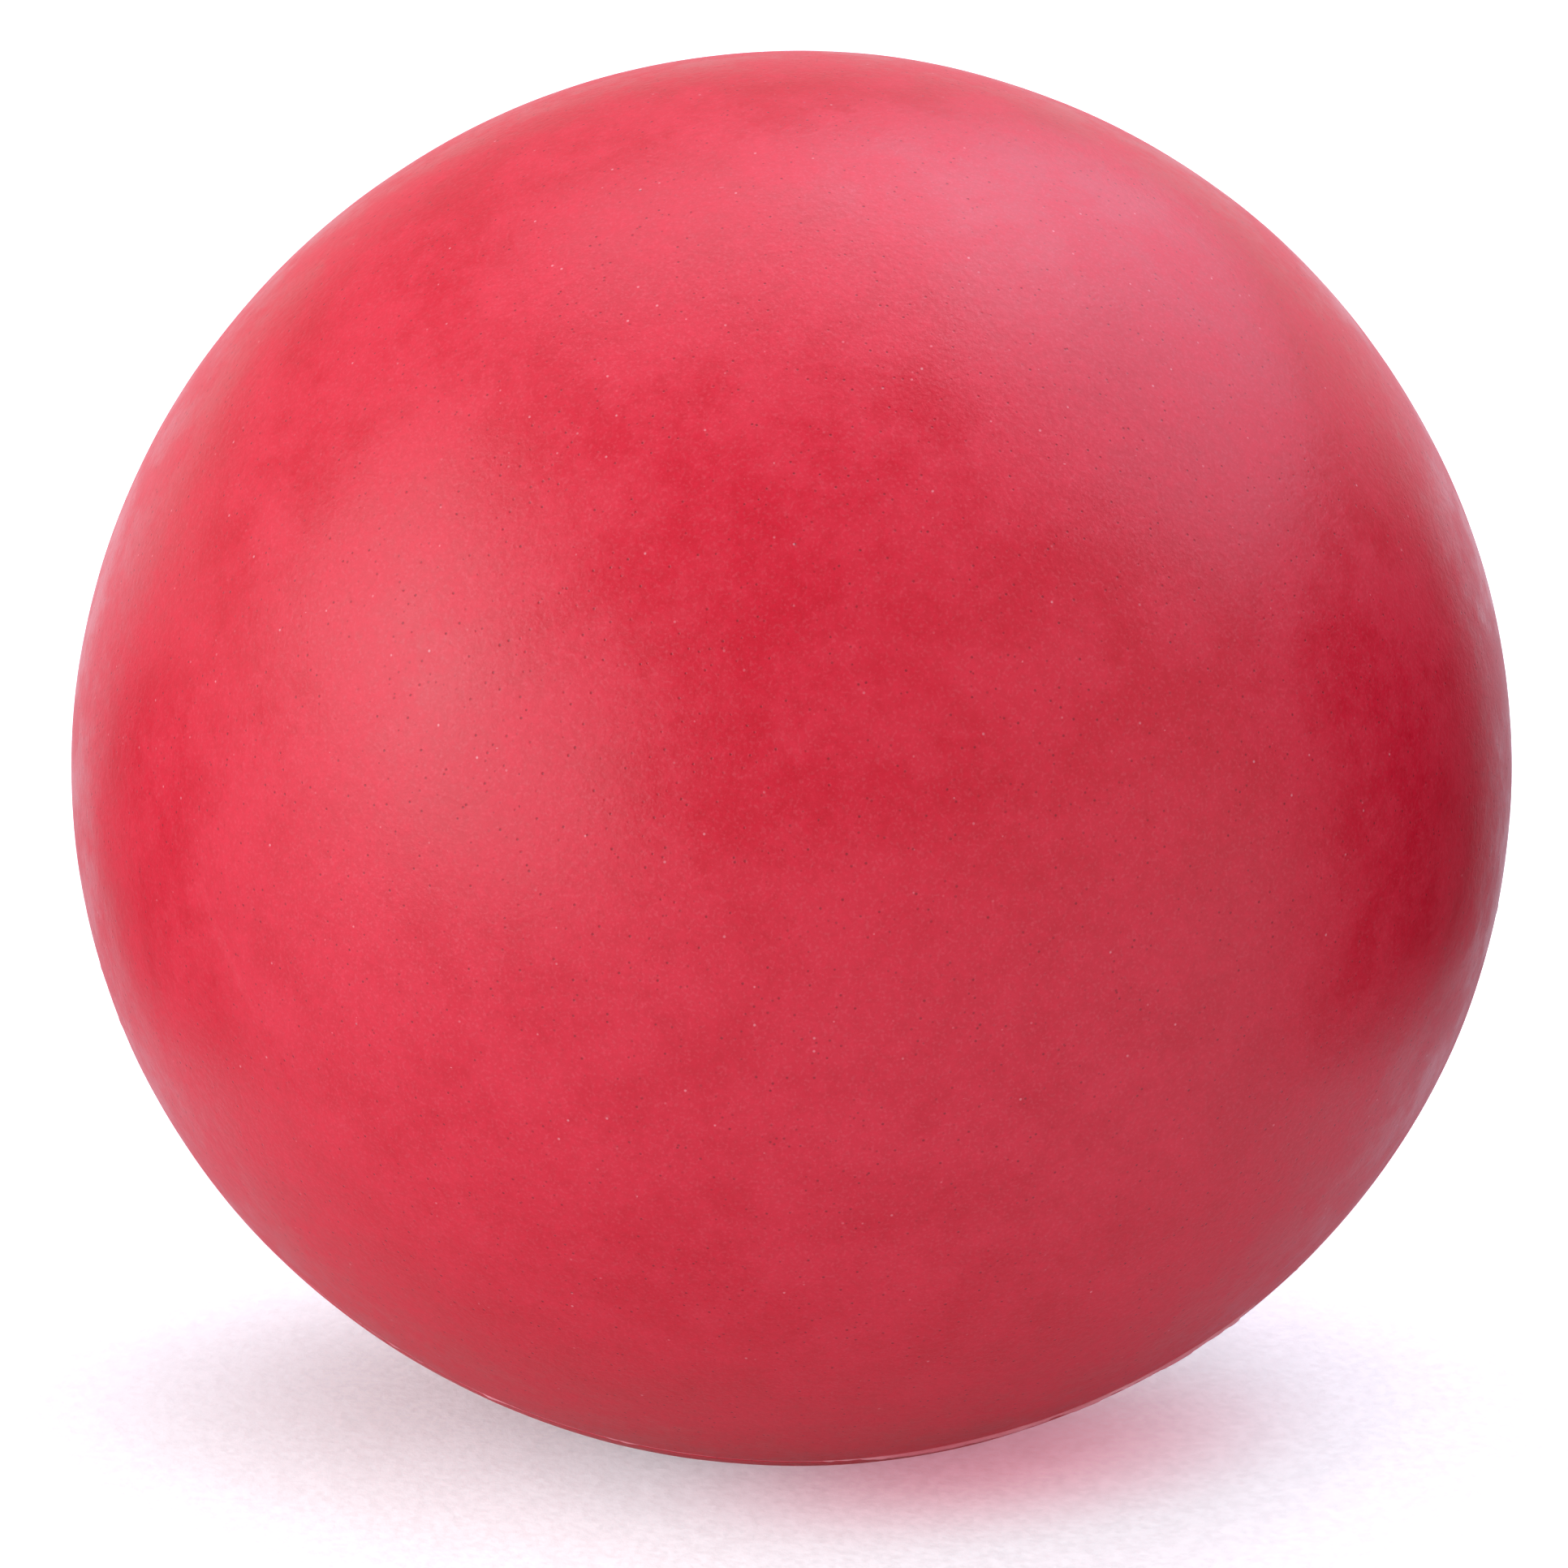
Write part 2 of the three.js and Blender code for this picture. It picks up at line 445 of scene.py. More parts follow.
def mouldedFormTree():
    tree, given, result = newTree(
        "mouldedForm",
        "GeometryNodeTree",
        [
            ("Geometry", "Geometry", None),
            ("Sag", "Float", 0.0),
            ("Lobe", "Float", 0.0),
            ("Lobe Turn", "Float", 0.0),
            ("Wave", "Float", 0.0),
            ("Wave Size", "Float", 0.01),
            ("Ripple", "Float", 0.0),
            ("Ripple Size", "Float", 0.005),
            ("Radius", "Float", 0.03),
            ("Seed", "Float", 0.0),
            ("Finish", "Material", None),
        ],
        [("Geometry", "Geometry")],
    )
    outward = vectorMaths(tree, "NORMALIZE", addNode(tree, "GeometryNodeInputPosition").outputs[0])
    parts = addNode(tree, "ShaderNodeSeparateXYZ")
    plug(tree, parts.inputs[0], outward)
    across, up = parts.outputs["X"], parts.outputs["Z"]
    # Out of round: low lobes seen from the front
    acrossSquare = maths(tree, "MULTIPLY", across, across)
    upSquare = maths(tree, "MULTIPLY", up, up)
    offMiddle = maths(tree, "SQRT", maths(tree, "ADD", acrossSquare, upSquare))
    spread = maths(tree, "POWER", offMiddle, formSize["lobeFade"])
    turn = maths(tree, "ADD", maths(tree, "ARCTAN2", up, across), given.outputs["Lobe Turn"])
    swings = maths(tree, "COSINE", maths(tree, "MULTIPLY", turn, formSize["lobeCount"]))
    lift = maths(tree, "MULTIPLY", maths(tree, "MULTIPLY", spread, swings), given.outputs["Lobe"])
    # Waves are read on the outer sphere, so that the pieces stay in line where they meet
    onSphere = scaled(tree, outward, given.outputs["Radius"])
    for label in ("Wave", "Ripple"):
        scale = maths(tree, "DIVIDE", 1.0, given.outputs[label + " Size"])
        swell = noise(tree, onSphere, scale, formSize["waveDetail"], given.outputs["Seed"])
        swing = maths(tree, "MULTIPLY", maths(tree, "SUBTRACT", swell, 0.5), 2.0)  # from -1 to 1
        lift = maths(tree, "ADD", lift, maths(tree, "MULTIPLY", swing, given.outputs[label]))
    settle = addNode(tree, "ShaderNodeCombineXYZ")
    drop = maths(tree, "MULTIPLY", maths(tree, "MULTIPLY", up, given.outputs["Sag"]), -1.0)
    plug(tree, settle.inputs["Z"], drop)
    offset = vectorMaths(tree, "ADD", scaled(tree, outward, lift), settle.outputs[0])
    moved = addNode(tree, "GeometryNodeSetPosition")
    plug(tree, moved.inputs["Geometry"], given.outputs["Geometry"])
    plug(tree, moved.inputs["Offset"], offset)
    dressResult(tree, moved.outputs[0], given, result)
    return tree


mouldedForm = mouldedFormTree()


def runTree(piece, tree, values):
    # Sets a tree's named inputs, then keeps its result as the piece's plain mesh
    modifier = piece.modifiers.new(tree.name, "NODES")
    modifier.node_group = tree
    sockets = {item.name: item.identifier for item in tree.interface.items_tree if item.in_out == "INPUT"}
    for label, value in values.items():
        modifier[sockets[label]] = value
    graph = bpy.context.evaluated_depsgraph_get()
    made = bpy.data.meshes.new_from_object(piece.evaluated_get(graph))
    piece.modifiers.remove(modifier)
    piece.data = made


def form(piece, finish):
    runTree(piece, mouldedForm, {
        "Sag": ballSag,
        "Lobe": formSize["lobe"],
        "Lobe Turn": math.radians(formSize["lobeTurn"]),
        "Wave": formSize["wave"],
        "Wave Size": formSize["waveSize"],
        "Ripple": formSize["ripple"],
        "Ripple Size": formSize["rippleSize"],
        "Radius": ballRadius,
        "Seed": formSize["seed"],
        "Finish": finish,
    })


# Outlines are radius and height along the moulding axis: the front pole is at minus, the rear pole at plus
def meridian(radius, fromHeight, toHeight, steps):
    start = math.asin(fromHeight / radius)
    end = math.asin(toHeight / radius)
    angles = [start + (end - start) * i / steps for i in range(steps + 1)]
    return [(radius * math.cos(a), radius * math.sin(a)) for a in angles]


def arc(centre, radius, fromDegrees, toDegrees, steps):
    angles = [math.radians(fromDegrees + (toDegrees - fromDegrees) * i / steps) for i in range(steps + 1)]
    return [(centre[0] + radius * math.cos(a), centre[1] + radius * math.sin(a)) for a in angles]


def turned(name, outline, steps):
    # Spins an outline round the moulding axis, raises the axis and gives smooth faces with crisp corners
    shape = bmesh.new()
    corners = [shape.verts.new((radius, height, 0)) for radius, height in outline]
    edges = [shape.edges.new(pair) for pair in zip(corners, corners[1:])]
    bmesh.ops.spin(
        shape, geom=corners + edges, cent=(0, 0, 0), axis=(0, 1, 0), angle=2 * math.pi, steps=steps
    )
    bmesh.ops.remove_doubles(shape, verts=shape.verts, dist=moulding["mergeWithin"])
    bmesh.ops.recalc_face_normals(shape, faces=shape.faces)
    for face in shape.faces:
        face.smooth = True
    for edge in shape.edges:
        edge.smooth = edge.calc_face_angle(0) < math.radians(moulding["crispAngle"])
    mesh = bpy.data.meshes.new(name)
    shape.to_mesh(mesh)
    shape.free()
    mesh.transform(Matrix.Rotation(-math.radians(moulding["axisLift"]), 4, "X"))
    piece = bpy.data.objects.new(name, mesh)
    bpy.context.scene.collection.objects.link(piece)
    return piece


def place(piece, finish, node):
    form(piece, finish)
    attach(piece, "root")
    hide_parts(node)
    print(piece.name, len(piece.data.polygons), "faces")


seam = {
    "film": 0.3 * mm,
    "clear": 0.02 * mm,
    "ease": 0.12 * mm,  # rounding of each rim's outer edge
    "easeSteps": 5,
    "recess": 0.1 * mm,  # how far the film lies under the surface
    "filmSteps": 4,  # in each half of the film's round edge
    "lapDepth": 2.4 * mm,
    "lapDraft": 8,  # degrees
    "bead": 1.2 * mm,
    "beadInset": 0.3 * mm,  # from the inner wall to the bead's middle
    "beadSteps": 12,
}
innerRadius = ballRadius - moulding["wall"]
lapSlope = math.tan(math.radians(seam["lapDraft"]))
rimOffset = seam["film"] / 2 + seam["clear"]


def lapRadius(height):
    return ballRadius - moulding["wall"] / 2 + (seam["lapDepth"] / 2 - height) * lapSlope


def seamStep(offset):
    # The stepped line between the halves, inside the outer surface, moved towards the rear by an offset
    stepOut = offset / math.cos(math.radians(seam["lapDraft"]))
    inner = seam["lapDepth"] + offset
    return [
        (lapRadius(offset) + stepOut, offset),
        (lapRadius(inner) + stepOut, inner),
        (math.sqrt(innerRadius ** 2 - inner ** 2), inner),
    ]


def frontShell():
    ease = seam["ease"]
    edge = -rimOffset - ease
    rimRadius = math.sqrt(ballRadius ** 2 - edge ** 2)
    step = seamStep(-rimOffset)
    outline = meridian(ballRadius, -ballRadius, edge, moulding["outerSteps"])
    outline += arc((rimRadius - ease, edge), ease, 0, 90, seam["easeSteps"])[1:]
    outline += step
    outline += meridian(innerRadius, step[-1][1], -innerRadius, moulding["innerSteps"])[1:]
    piece = turned("front_shell", outline, moulding["aroundSteps"])
    place(piece, redRubberFinish, "front_half_shell")


inflation = {
    "plugTip": 3.6 * mm,
    "plugLength": 5.0 * mm,
    "plugTaper": 10,  # degrees
    "plugProud": 0.8 * mm,
    "plugCover": 3.0 * mm,
    "socketRoom": 0.9 * mm,  # from the plug's tip to the cover, as in the solids
    "film": 0.3 * mm,
    "clear": 0.02 * mm,
    "bossWall": 2.4 * mm,
    "bossFoot": 4.0 * mm,
    "footSteps": 12,
    "needle": 0.6 * mm,
    "sealRadius": 2.4 * mm,
    "sealDepth": 1.0 * mm,
    "sealClear": 0.05 * mm,
    "sealCrown": 0.08 * mm,  # how far the dried dab stands proud
    "crownPower": 4,  # how flat the crown is
    "sealSteps": 14,
    "aroundSteps": 96,
}
plugTipHeight = ballRadius - inflation["plugCover"] - inflation["socketRoom"]
plugEndHeight = plugTipHeight - inflation["plugLength"]
bossHeight = plugEndHeight + inflation["plugProud"]
plugSlope = math.tan(math.radians(inflation["plugTaper"]))
socketGap = inflation["film"] + 2 * inflation["clear"]


def plugRadius(clearance, height):
    sideways = clearance / math.cos(math.radians(inflation["plugTaper"]))
    return inflation["plugTip"] + (plugTipHeight - height) * plugSlope + sideways


def plugTipEdge(clearance):
    height = plugTipHeight + clearance
    return (plugRadius(clearance, height), height)


def bossSide():
    # The boss round the socket runs into the inner wall in an S-shaped blend
    top = plugRadius(socketGap, bossHeight) + inflation["bossWall"]
    side = []
    for i in range(inflation["footSteps"] + 1):
        share = i / inflation["footSteps"]
        radius = top + inflation["bossFoot"] * share
        wallHeight = math.sqrt(innerRadius ** 2 - radius ** 2)
        eased = share * share * (3 - 2 * share)
        side.append((radius, bossHeight + (wallHeight - bossHeight) * eased))
    return side


def rearShell():
    ease = seam["ease"]
    edge = rimOffset + ease
    rimRadius = math.sqrt(ballRadius ** 2 - edge ** 2)
    step = seamStep(rimOffset)
    foot = bossSide()
    dimpleEdge = math.sqrt(ballRadius ** 2 - inflation["sealRadius"] ** 2)
    outline = arc((rimRadius - ease, edge), ease, -90, 0, seam["easeSteps"])
    outline += meridian(ballRadius, edge, dimpleEdge, moulding["outerSteps"])[1:]
    outline += [
        (inflation["needle"], ballRadius - inflation["sealDepth"]),
        (inflation["needle"], plugTipHeight + socketGap),
        plugTipEdge(socketGap),
        (plugRadius(socketGap, bossHeight), bossHeight),
    ]
    outline += foot
    outline += meridian(innerRadius, foot[-1][1], step[-1][1], moulding["innerSteps"])[1:-1]
    outline += step[::-1]
    outline += outline[:1]
    piece = turned("rear_shell", outline, moulding["aroundSteps"])
    place(piece, redRubberFinish, "rear_half_shell")


lip = {
    "size": 0.16 * mm,  # half the width of the lip
    "least": 0.06,  # share of that size left where the lip was trimmed
    "patchSize": 1.8 * mm,
    "patchDetail": 3.0,
    "patchRoughness": 0.6,
    "trimLimits": (0.54, 0.82),  # of the patches, from trimmed to left whole
    "strongSide": (0.37, -0.49, -0.79),  # where the trimming was coarsest
    "strongReach": (0.945, 0.985),  # cosines of the angles to that side
    "strongGain": 0.27,
    "steps": 1100,
    "sectionSteps": 8,
    "seed": 3.0,
}


def squeezedLipTree():
    # Cement that squeezed out along the outside of the seam and was trimmed by hand
    tree, given, result = newTree(
        "squeezedLip",
        "GeometryNodeTree",
        [
            ("Geometry", "Geometry", None),
            ("Ring Radius", "Float", 0.03),
            ("Tilt", "Float", 0.0),
            ("Shift", "Float", 0.0),
            ("Lip Size", "Float", 0.0),
            ("Least", "Float", 0.0),
            ("Patch Size", "Float", 0.002),
            ("Strong Side", "Vector", None),
            ("Steps", "Int", 16),
            ("Seed", "Float", 0.0),
            ("Finish", "Material", None),
        ],
        [("Geometry", "Geometry")],
    )
    ring = addNode(tree, "GeometryNodeCurvePrimitiveCircle")
    plug(tree, ring.inputs["Resolution"], given.outputs["Steps"])
    plug(tree, ring.inputs["Radius"], given.outputs["Ring Radius"])
    shift = addNode(tree, "ShaderNodeCombineXYZ")
    plug(tree, shift.inputs["Z"], given.outputs["Shift"])
    moved = addNode(tree, "GeometryNodeSetPosition")
    plug(tree, moved.inputs["Geometry"], ring.outputs["Curve"])
    plug(tree, moved.inputs["Offset"], shift.outputs[0])
    turn = addNode(tree, "ShaderNodeCombineXYZ")
    plug(tree, turn.inputs["X"], given.outputs["Tilt"])
    tilted = addNode(tree, "GeometryNodeTransform")
    plug(tree, tilted.inputs["Geometry"], moved.outputs[0])
    plug(tree, tilted.inputs["Rotation"], turn.outputs[0])
    # The lip comes and goes along the seam, and is boldest on one side
    position = addNode(tree, "GeometryNodeInputPosition").outputs[0]
    scale = maths(tree, "DIVIDE", 1.0, given.outputs["Patch Size"])
    uneven = noise(tree, position, scale, lip["patchDetail"], given.outputs["Seed"], lip["patchRoughness"])
    outward = vectorMaths(tree, "NORMALIZE", position)
    towards = vectorMaths(tree, "DOT_PRODUCT", outward, given.outputs["Strong Side"])
    bold = ramp(tree, towards, *lip["strongReach"], 0.0, lip["strongGain"])
    left = ramp(tree, maths(tree, "ADD", uneven, bold), *lip["trimLimits"])
    share = maths(tree, "MAXIMUM", left, given.outputs["Least"])
    section = addNode(tree, "GeometryNodeCurvePrimitiveCircle")
    section.inputs["Resolution"].default_value = lip["sectionSteps"]
    section.inputs["Radius"].default_value = 1.0
    swept = addNode(tree, "GeometryNodeCurveToMesh")
    plug(tree, swept.inputs["Curve"], tilted.outputs[0])
    plug(tree, swept.inputs["Profile Curve"], section.outputs["Curve"])
    plug(tree, swept.inputs["Scale"], maths(tree, "MULTIPLY", share, given.outputs["Lip Size"]))
    joined = addNode(tree, "GeometryNodeJoinGeometry")
    plug(tree, joined.inputs[0], swept.outputs[0])
    plug(tree, joined.inputs[0], given.outputs["Geometry"])
    dressResult(tree, joined.outputs[0], given, result)
    return tree


def seamFilm():
    half = seam["film"] / 2
    outer = ballRadius - seam["recess"]
    inner = innerRadius - seam["beadInset"]
    depth = seam["lapDepth"]
    outline = arc((outer - half, 0), half, 0, 90, seam["filmSteps"])
    outline += seamStep(half)[:2]
    outline += [(inner, depth + half)]
    outline += arc((inner, depth), seam["bead"], 90, 270, seam["beadSteps"])
    outline += [(inner, depth - half)]
    outline += seamStep(-half)[:2][::-1]
    outline += arc((outer - half, 0), half, -90, 0, seam["filmSteps"])
    piece = turned("seam_film", outline, moulding["aroundSteps"])
    runTree(piece, squeezedLipTree(), {
        "Ring Radius": ballRadius,
        "Tilt": math.radians(90 - moulding["axisLift"]),
        "Shift": rimOffset,
        "Lip Size": lip["size"],
        "Least": lip["least"],
        "Patch Size": lip["patchSize"],
        "Strong Side": lip["strongSide"],
        "Steps": lip["steps"],
        "Seed": lip["seed"],
        "Finish": cementFinish,
    })
    place(piece, cementFinish, "seam_cement")


def sealingPlug():
    outline = [
        (0, plugEndHeight),
        (plugRadius(0, plugEndHeight), plugEndHeight),
        plugTipEdge(0),
        (0, plugTipHeight),
    ]
    piece = turned("gum_plug", outline, inflation["aroundSteps"])
    place(piece, gumFinish, "sealing_plug")


def plugCup():
    inside = inflation["clear"]
    outside = inside + inflation["film"]
    outline = [
        (0, plugTipHeight + inside),
        plugTipEdge(inside),
        (plugRadius(inside, bossHeight), bossHeight),
        (plugRadius(outside, bossHeight), bossHeight),
        plugTipEdge(outside),
        (0, plugTipHeight + outside),
    ]
    piece = turned("plug_cup", outline, inflation["aroundSteps"])
    place(piece, cementFinish, "plug_cement")


def needleSeal():
    edge = inflation["sealRadius"] - inflation["sealClear"]
    edgeHeight = math.sqrt(ballRadius ** 2 - edge ** 2)
    outline = [(0, ballRadius - inflation["sealDepth"] + inflation["sealClear"])]
    for radius, height in meridian(ballRadius, edgeHeight, ballRadius, inflation["sealSteps"]):
        proud = inflation["sealCrown"] * (1 - (radius / edge) ** inflation["crownPower"])
        outline.append((radius, height + proud))
    piece = turned("needle_seal", outline, inflation["aroundSteps"])
    place(piece, sealFinish, "needle_hole_seal")


frontShell()
rearShell()
seamFilm()
sealingPlug()
plugCup()
needleSeal()


# Floor, light and camera
studio = {
    "floorColour": (0.66, 0.66, 0.67, 1),
    "floorGrit": (0.73, 0.73, 0.74, 1),
    "floorSize": 7.0,
    "floorRoughness": 0.9,
    "floorShine": 0.1,
    "gritSize": 0.35 * mm,
    "gritDetail": 3.0,
    "gritSeed": 5.0,
    "gritLimits": (0.3, 0.7),
    "gritGlow": (0.92, 1.08),  # how much the grit dims and lifts the glow
    "bumpStrength": 0.5,
    "bumpDistance": 0.1 * mm,
    # The floor's glow is dimmed round the ball's foot: a painted shadow, from shadowGlow at its heart to
    # openGlow at its edge
    "shadowGlow": 0.2,
    "openGlow": 0.67,
    "shadowCentre": (-6 * mm, 2 * mm, 0),
    "shadowReach": (0, 21 * mm),  # from the painted shadow's heart to its edge
    "shadowAxes": ((0.45, 0, 0), (0, 1, 0)),  # the painted shadow is wider than it is deep
    "glossGlow": 0.34,
    "glossReach": (50 * mm, 200 * mm),  # near the ball, gloss shows the floor's own shade
    # A pink patch painted into the floor's glow beside the ball stands in for the red light that the ball
    # bounces onto it
    "paintedBounceCentre": (8.5 * mm, -5.6 * mm, 0),  # where the painted red bounce of the ball on the floor is strongest
    "paintedBounceReach": (1 * mm, 8.5 * mm),
    "paintedBounceAxes": ((0.446, 0.178, 0), (-0.296, 0.744, 0)),  # longer along the ball's outline
    "paintedBounceColour": (1, 0.40, 0.53, 1),
    "farColour": (0.9, 0.94, 1, 1),
    "wallLevel": 0.43,
    "horizonLow": 0.11,  # sine of the height up to which the background is white
    "horizonHigh": 0.17,
}


def seenRays(tree):
    # 1 for what the camera sees directly, and 1 for what it sees in gloss or through glass
    rays = addNode(tree, "ShaderNodeLightPath").outputs
    return rays["Is Camera Ray"], maths(tree, "MAXIMUM", rays["Is Glossy Ray"], rays["Is Transmission Ray"])


def stretchedDistance(tree, spot, centre, axes):
    # Distance from a centre on the floor, measured along two axes of unlike scale
    offset = vectorMaths(tree, "SUBTRACT", spot, centre)
    measured = addNode(tree, "ShaderNodeCombineXYZ")
    for socket, axis in zip(measured.inputs, axes):
        plug(tree, socket, vectorMaths(tree, "DOT_PRODUCT", offset, axis))
    return vectorMaths(tree, "LENGTH", measured.outputs[0])


def floorFinish():
    finish, tree, shader = newFinish("pale_floor")
    spot = ownSpot(tree)
    grit = noise(tree, spot, 1 / studio["gritSize"], studio["gritDetail"], studio["gritSeed"])
    shade = blendColour(tree, grit, studio["floorColour"], studio["floorGrit"])
    plug(tree, shader.inputs["Base Color"], shade)
    shader.inputs["Roughness"].default_value = studio["floorRoughness"]
    shader.inputs["Specular IOR Level"].default_value = studio["floorShine"]
    bumpFrom(tree, shader, grit, studio)
    # What is seen of the floor is lifted to the white of the background, least round the ball's foot, which
    # paints a soft shadow into the glow; beside the ball the glow is painted pink as the ball's red bounce
    # Painted red bounce: the glow turns pink beside the ball
    fromPaintedBounce = stretchedDistance(tree, spot, studio["paintedBounceCentre"], studio["paintedBounceAxes"])
    paintedBounce = ramp(tree, fromPaintedBounce, *studio["paintedBounceReach"])
    tint = blendColour(tree, paintedBounce, studio["paintedBounceColour"], studio["farColour"])
    plug(tree, shader.inputs["Emission Color"], tint)
    direct, inGloss = seenRays(tree)
    # Painted shadow: the glow dims towards the ball's foot
    fromShadow = stretchedDistance(tree, spot, studio["shadowCentre"], studio["shadowAxes"])
    paintedShadowGlow = ramp(tree, fromShadow, *studio["shadowReach"], studio["shadowGlow"], studio["openGlow"])
    grittyShare = ramp(tree, grit, *studio["gritLimits"], *studio["gritGlow"])
    directGlow = maths(tree, "MULTIPLY", direct, maths(tree, "MULTIPLY", paintedShadowGlow, grittyShare))
    away = vectorMaths(tree, "LENGTH", spot)
    farGlow = ramp(tree, away, *studio["glossReach"], 0.0, studio["glossGlow"])
    glow = maths(tree, "ADD", directGlow, maths(tree, "MULTIPLY", inGloss, farGlow))
    plug(tree, shader.inputs["Emission Strength"], glow)
    return finish


def makeFloor():
    half = studio["floorSize"] / 2
    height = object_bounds()[0].z
    mesh = bpy.data.meshes.new("floor")
    corners = [(x * half, y * half, height) for x, y in ((-1, -1), (1, -1), (1, 1), (-1, 1))]
    mesh.from_pydata(corners, [], [(0, 1, 2, 3)])
    mesh.materials.append(floorFinish())
    floor = bpy.data.objects.new("floor", mesh)
    bpy.context.scene.collection.objects.link(floor)


def makeWorld():
    # A pale room, white at the horizon where it is seen
    world = bpy.data.worlds.new("studio")
    bpy.context.scene.world = world
    world.use_nodes = True
    tree = world.node_tree
    sky = tree.nodes["Background"]
    sky.inputs["Color"].default_value = (1, 1, 1, 1)
    direction = addNode(tree, "ShaderNodeSeparateXYZ")
    plug(tree, direction.inputs[0], addNode(tree, "ShaderNodeTexCoord").outputs["Generated"])
    horizon = ramp(tree, direction.outputs["Z"], studio["horizonHigh"], studio["horizonLow"])
    whitened = maths(tree, "MULTIPLY", horizon, maths(tree, "MAXIMUM", *seenRays(tree)))
    plug(tree, sky.inputs["Strength"], maths(tree, "MAXIMUM", whitened, studio["wallLevel"]))


# Azimuth is from the camera's side, positive to the right; level is the box's own brightness
softboxes = {
    "left_high_box": {
        "azimuth": -79, "elevation": 31, "distance": 0.7,
        "size": (0.48, 0.48), "level": 2.05, "tint": (1, 0.98, 1.03),
    },
    "left_low_box": {
        "azimuth": -51, "elevation": 15, "distance": 0.7,
        "size": (0.6, 0.45), "level": 1.95, "tint": (1, 0.98, 1.06),
    },
    "rear_box": {
        "azimuth": 124, "elevation": 45, "distance": 0.7,
        "size": (1.0, 0.6), "level": 1.3, "tint": (1, 0.95, 1.3),
    },
    "top_box": {
        "azimuth": 178, "elevation": 70, "distance": 0.7,
        "size": (0.8, 0.55), "level": 1.28, "tint": (1, 1, 1.2),
    },
    "right_fill": {
        "azimuth": 55, "elevation": 20, "distance": 0.9,
        "size": (1.0, 0.9), "level": 0.2, "tint": (1, 1, 1),
    },
}
boxPower = 4  # watts for each square metre of a box of level 1


def makeSoftbox(name, box):
    turn, rise = math.radians(box["azimuth"]), math.radians(box["elevation"])
    outward = Vector((math.sin(turn) * math.cos(rise), -math.cos(turn) * math.cos(rise), math.sin(rise)))
    lamp = bpy.data.lights.new(name, "AREA")
    lamp.shape = "RECTANGLE"
    lamp.size, lamp.size_y = box["size"]
    lamp.color = box["tint"]
    lamp.energy = boxPower * box["level"] * lamp.size * lamp.size_y
    holder = bpy.data.objects.new(name, lamp)
    holder.location = outward * box["distance"]
    holder.rotation_euler = (-outward).to_track_quat("-Z", "Y").to_euler()
    bpy.context.scene.collection.objects.link(holder)


# Dark cards beside the ball keep its sides deep; only the ball sees them
darkCards = {
    "right_card": {
        "azimuth": 87, "distance": 48 * mm, "width": 64 * mm, "foot": -31 * mm, "top": 34 * mm,
        "core": 0.2, "colour": (0.03, 0.03, 0.03, 1),
    },
    "left_card": {
        "azimuth": -90, "distance": 50 * mm, "width": 58 * mm, "foot": -31 * mm, "top": 18 * mm,
        "core": 0.0, "colour": (0.18, 0.14, 0.11, 1),
    },
}
cardCorners = ((0, 0), (1, 0), (1, 1), (0, 1))  # across and up, in the card's own map
cardMiddle = 0.5
cardFootFade = 0.25  # height up to which the foot fades in
cardHeadFade = 0.65  # height from which the head fades out


def cardFinish(name, card):
    finish, tree, shader = newFinish(name)
    shader.inputs["Base Color"].default_value = card["colour"]
    # Soft edges, from the card's own map
    parts = addNode(tree, "ShaderNodeSeparateXYZ")
    plug(tree, parts.inputs[0], addNode(tree, "ShaderNodeUVMap").outputs["UV"])
    offCentre = maths(tree, "ABSOLUTE", maths(tree, "SUBTRACT", parts.outputs["X"], cardMiddle))
    sides = ramp(tree, offCentre, cardMiddle, card["core"])
    head = ramp(tree, parts.outputs["Y"], 1.0, cardHeadFade)
    foot = ramp(tree, parts.outputs["Y"], 0.0, cardFootFade)
    plug(tree, shader.inputs["Alpha"], maths(tree, "MULTIPLY", sides, maths(tree, "MULTIPLY", head, foot)))
    return finish


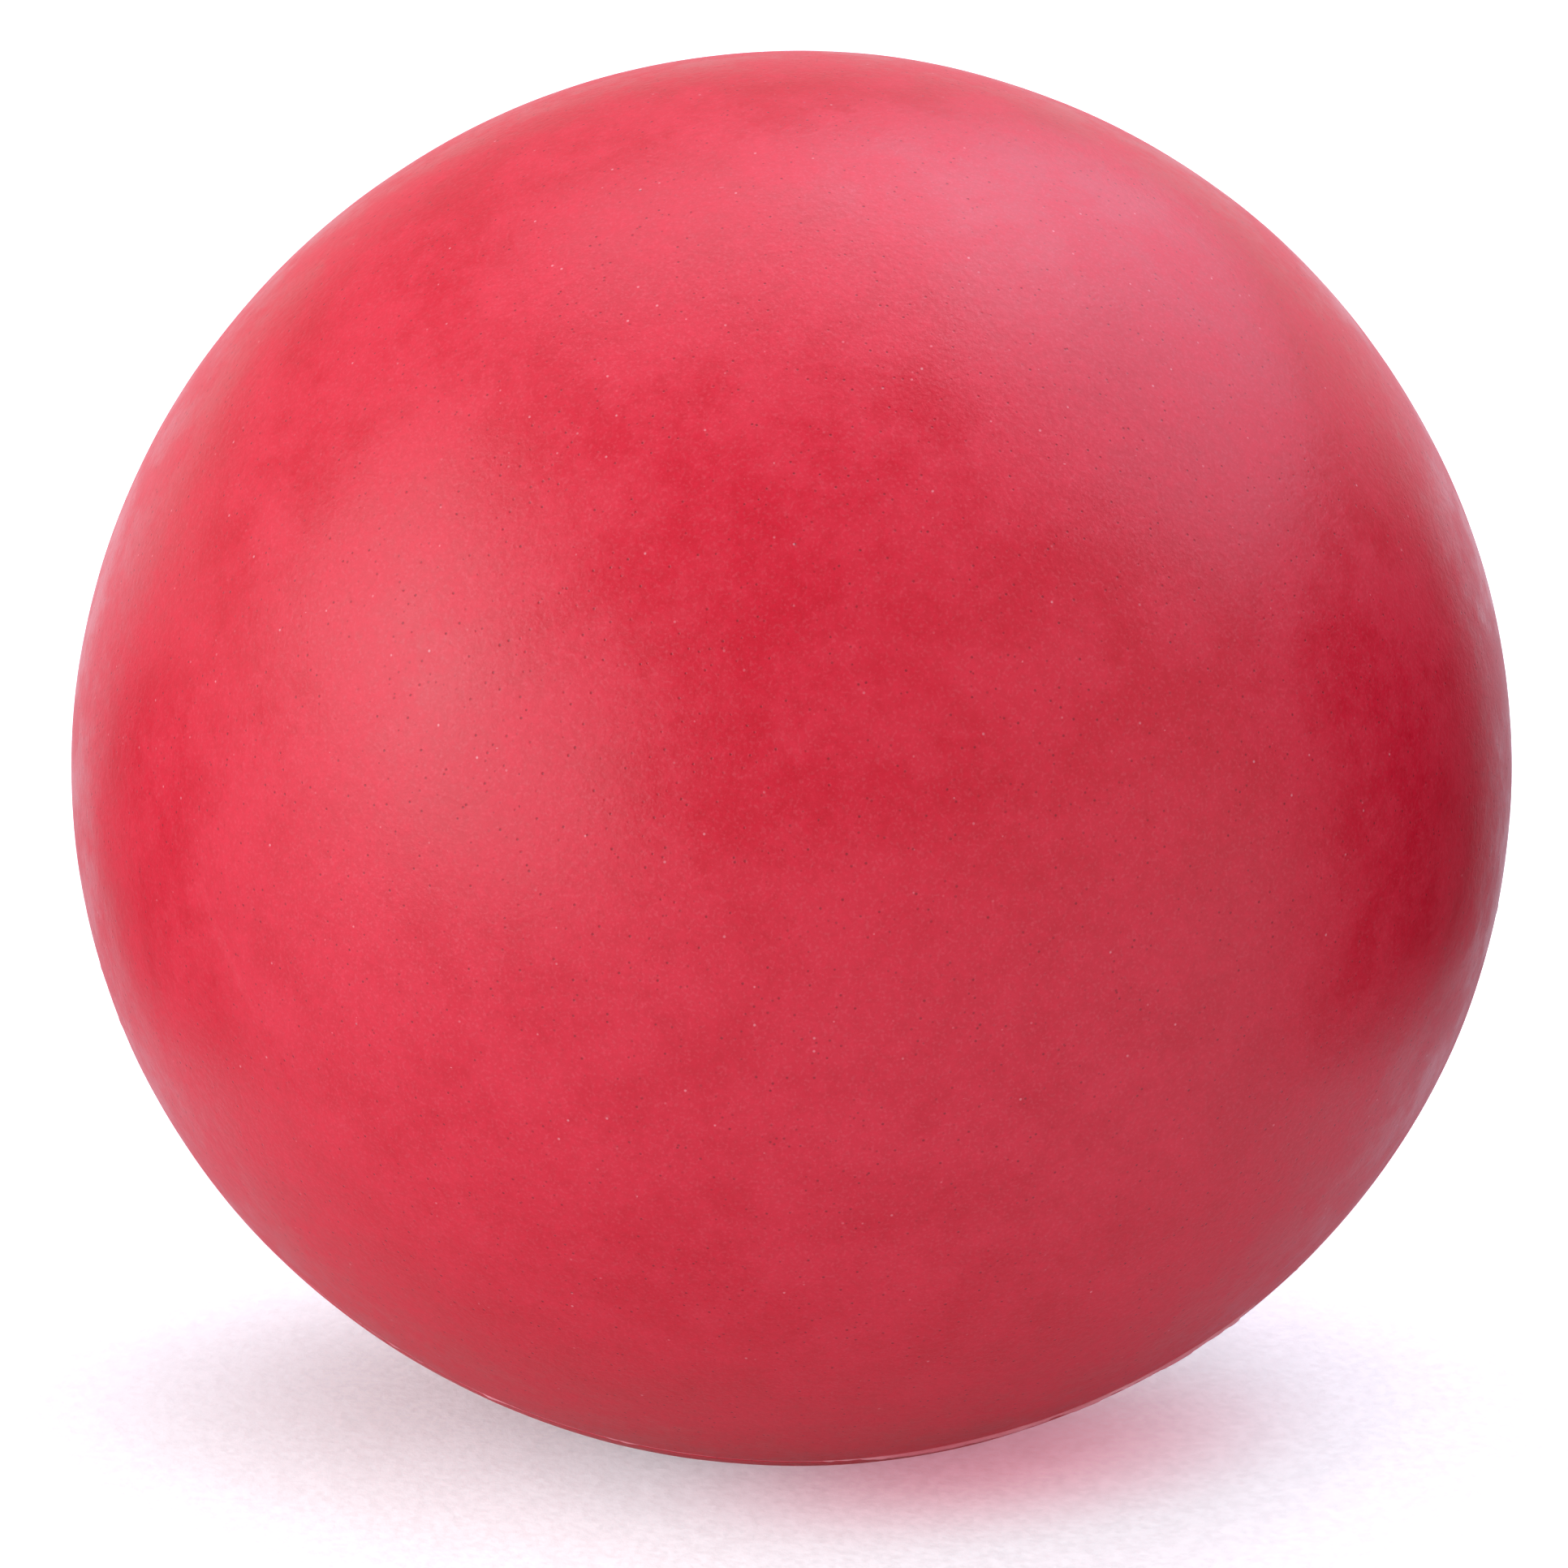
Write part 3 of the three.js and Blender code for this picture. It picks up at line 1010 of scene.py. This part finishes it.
def makeDarkCard(name, card):
    turn = math.radians(card["azimuth"])
    outward = Vector((math.sin(turn), -math.cos(turn), 0)) * card["distance"]
    across = Vector((math.cos(turn), math.sin(turn), 0)) * card["width"] / 2
    foot = Vector((0, 0, card["foot"]))
    head = Vector((0, 0, card["top"]))
    left, right = outward - across, outward + across
    mesh = bpy.data.meshes.new(name)
    mesh.from_pydata([left + foot, right + foot, right + head, left + head], [], [(0, 1, 2, 3)])
    cardMap = mesh.uv_layers.new()
    for loop, corner in zip(cardMap.data, cardCorners):
        loop.uv = corner
    mesh.materials.append(cardFinish(name, card))
    holder = bpy.data.objects.new(name, mesh)
    holder.visible_camera = False
    holder.visible_shadow = False
    bpy.context.scene.collection.objects.link(holder)


view = {
    "imageSide": 1932,  # pixels
    "ballHalfWidth": 888,  # pixels from the ball's middle to its side
    "ballCentre": (977, 936),  # pixels from the top left
    "fieldOfView": 12,  # degrees
    "elevation": 20,  # degrees
    "sensorWidth": 36,  # millimetres
    "clip": (0.01, 20),
}


def makeCamera():
    lens = bpy.data.cameras.new("camera")
    lens.sensor_width = view["sensorWidth"]
    half = math.tan(math.radians(view["fieldOfView"]) / 2)
    lens.lens = lens.sensor_width / 2 / half
    lens.clip_start, lens.clip_end = view["clip"]
    focal = view["imageSide"] / 2 / half  # in pixels
    distance = ballRadius * math.sqrt(1 + (focal / view["ballHalfWidth"]) ** 2)
    rise = math.radians(view["elevation"])
    back = Vector((0, -math.cos(rise), math.sin(rise)))
    up = Vector((0, math.sin(rise), math.cos(rise)))
    perPixel = distance / focal
    right = view["ballCentre"][0] - view["imageSide"] / 2
    down = view["ballCentre"][1] - view["imageSide"] / 2
    aim = Vector((-right * perPixel, 0, 0)) + up * down * perPixel
    camera = bpy.data.objects.new("camera", lens)
    camera.location = aim + back * distance
    camera.rotation_euler = (-back).to_track_quat("-Z", "Y").to_euler()
    bpy.context.scene.collection.objects.link(camera)
    bpy.context.scene.camera = camera


makeFloor()
makeWorld()
for boxName, box in softboxes.items():
    makeSoftbox(boxName, box)
for cardName, card in darkCards.items():
    makeDarkCard(cardName, card)
makeCamera()
bpy.context.scene.view_settings.view_transform = "Standard"
print("studio ready")
